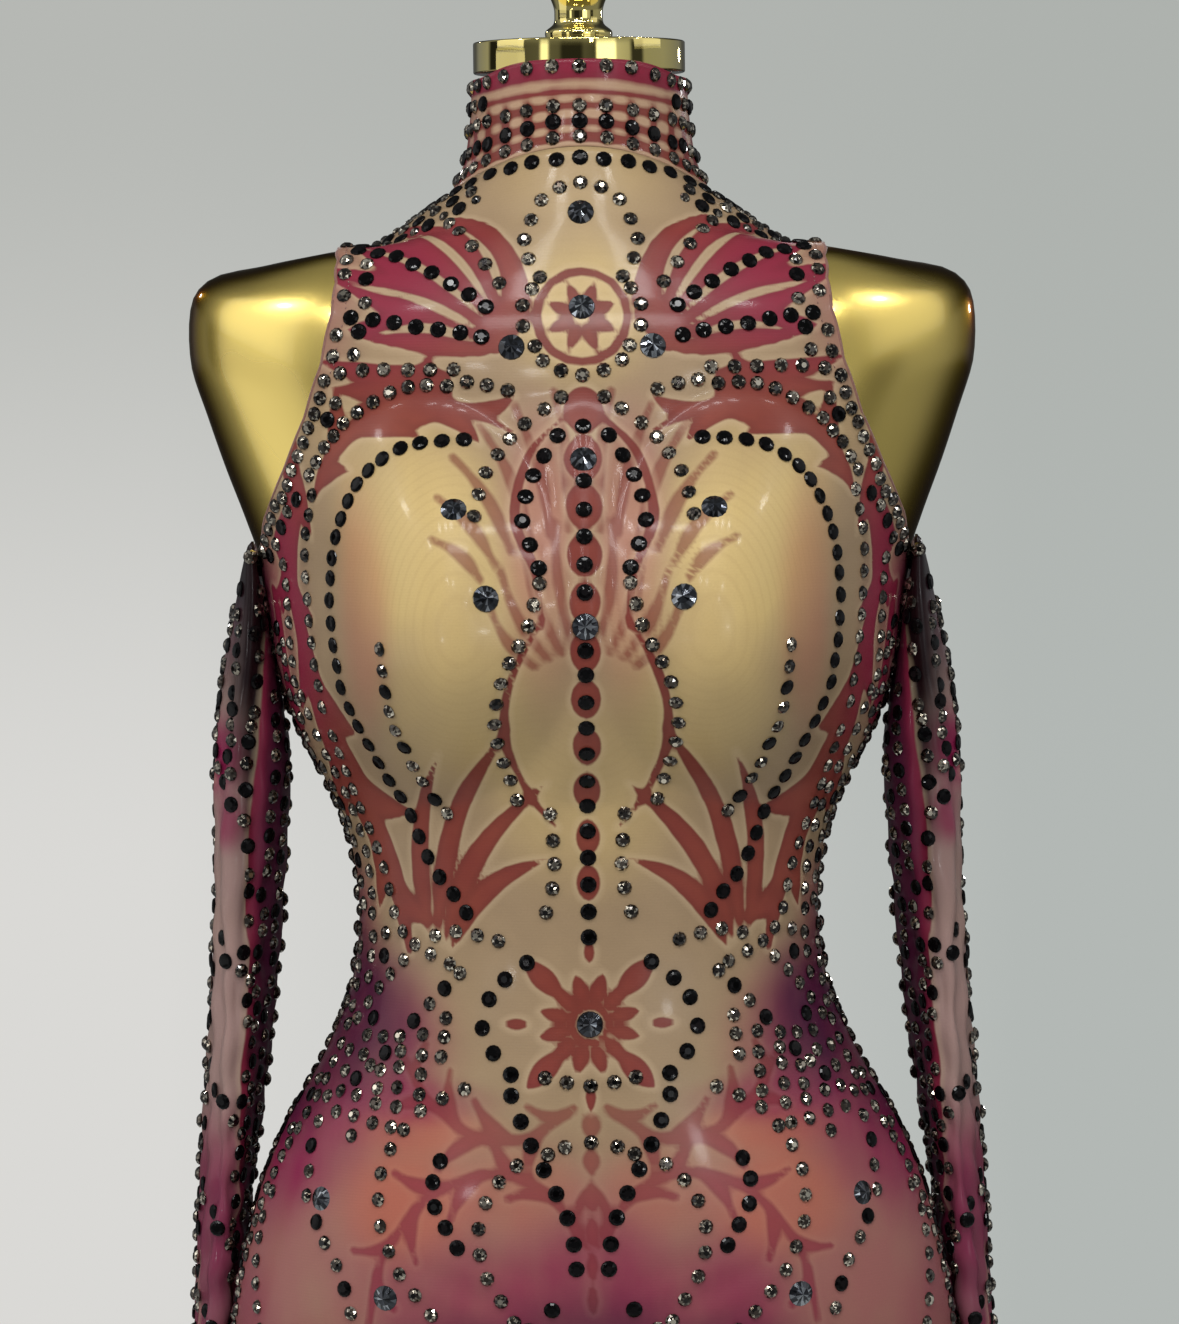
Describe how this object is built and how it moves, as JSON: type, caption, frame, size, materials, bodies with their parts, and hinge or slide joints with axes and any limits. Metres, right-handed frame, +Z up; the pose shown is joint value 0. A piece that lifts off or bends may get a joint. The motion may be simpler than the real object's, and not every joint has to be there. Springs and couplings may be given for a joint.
{
  "type": "rhinestone jumpsuit on a limbless dress form",
  "caption": "Sheer stretch-mesh jumpsuit with high collar, cut-away shoulders and long sleeves, set with faceted stones, on a limbless gold dress form with a round base.",
  "frame": {"origin": "on the floor under the middle of the round base", "axes": "+Z up; the front of the suit faces -Y; +X is the suit's own left side"},
  "size_m": [0.408, 0.38, 1.5591],
  "materials": {
    "gold_lacquer": "gold lacquer on a moulded shell, high gloss",
    "polished_gold": "polished and gold plated",
    "printed_mesh": "fine stretch mesh, printed maroon and plum on nude",
    "zip_tape": "woven tape with a closed chain of small teeth",
    "zip_metal": "dark nickel, satin",
    "dark_glass": "faceted grey-blue glass with a foiled back"
  },
  "bodies": {
    "suit_on_stand": {"dress_form": "gold_lacquer", "base_plate": "polished_gold", "rod_socket": "polished_gold", "rod": "polished_gold", "rod_flange": "polished_gold", "neck_disc": "polished_gold", "finial": "polished_gold", "collar": "printed_mesh", "front": "printed_mesh", "back_left": "printed_mesh", "back_right": "printed_mesh", "sleeve_left": "printed_mesh", "sleeve_right": "printed_mesh", "leg_left_front": "printed_mesh", "leg_left_back": "printed_mesh", "leg_right_front": "printed_mesh", "leg_right_back": "printed_mesh", "zip_strip": "zip_tape", "zip_slider": "zip_metal", "stone_throat_middle": "dark_glass", "stone_breastbone_middle": "dark_glass", "stone_collarbone_left": "dark_glass", "stone_collarbone_right": "dark_glass", "stone_centre_chest_middle": "dark_glass", "stone_upper_bust_left": "dark_glass", "stone_upper_bust_right": "dark_glass", "stone_inner_bust_left": "dark_glass", "stone_inner_bust_right": "dark_glass", "stone_bridge_middle": "dark_glass", "stone_navel_middle": "dark_glass", "stone_hip_side_left": "dark_glass", "stone_hip_side_right": "dark_glass", "stone_hip_front_left": "dark_glass", "stone_hip_front_right": "dark_glass"},
    "pull": {"zip_pull": "zip_metal"}
  },
  "joints": [
    {"name": "pull_hinge", "type": "hinge", "parent": "suit_on_stand", "child": "pull", "pos_m": [0, 0.06517, 1.45434], "axis": [1, 0, 0], "range_deg": [0, 170]}
  ]
}
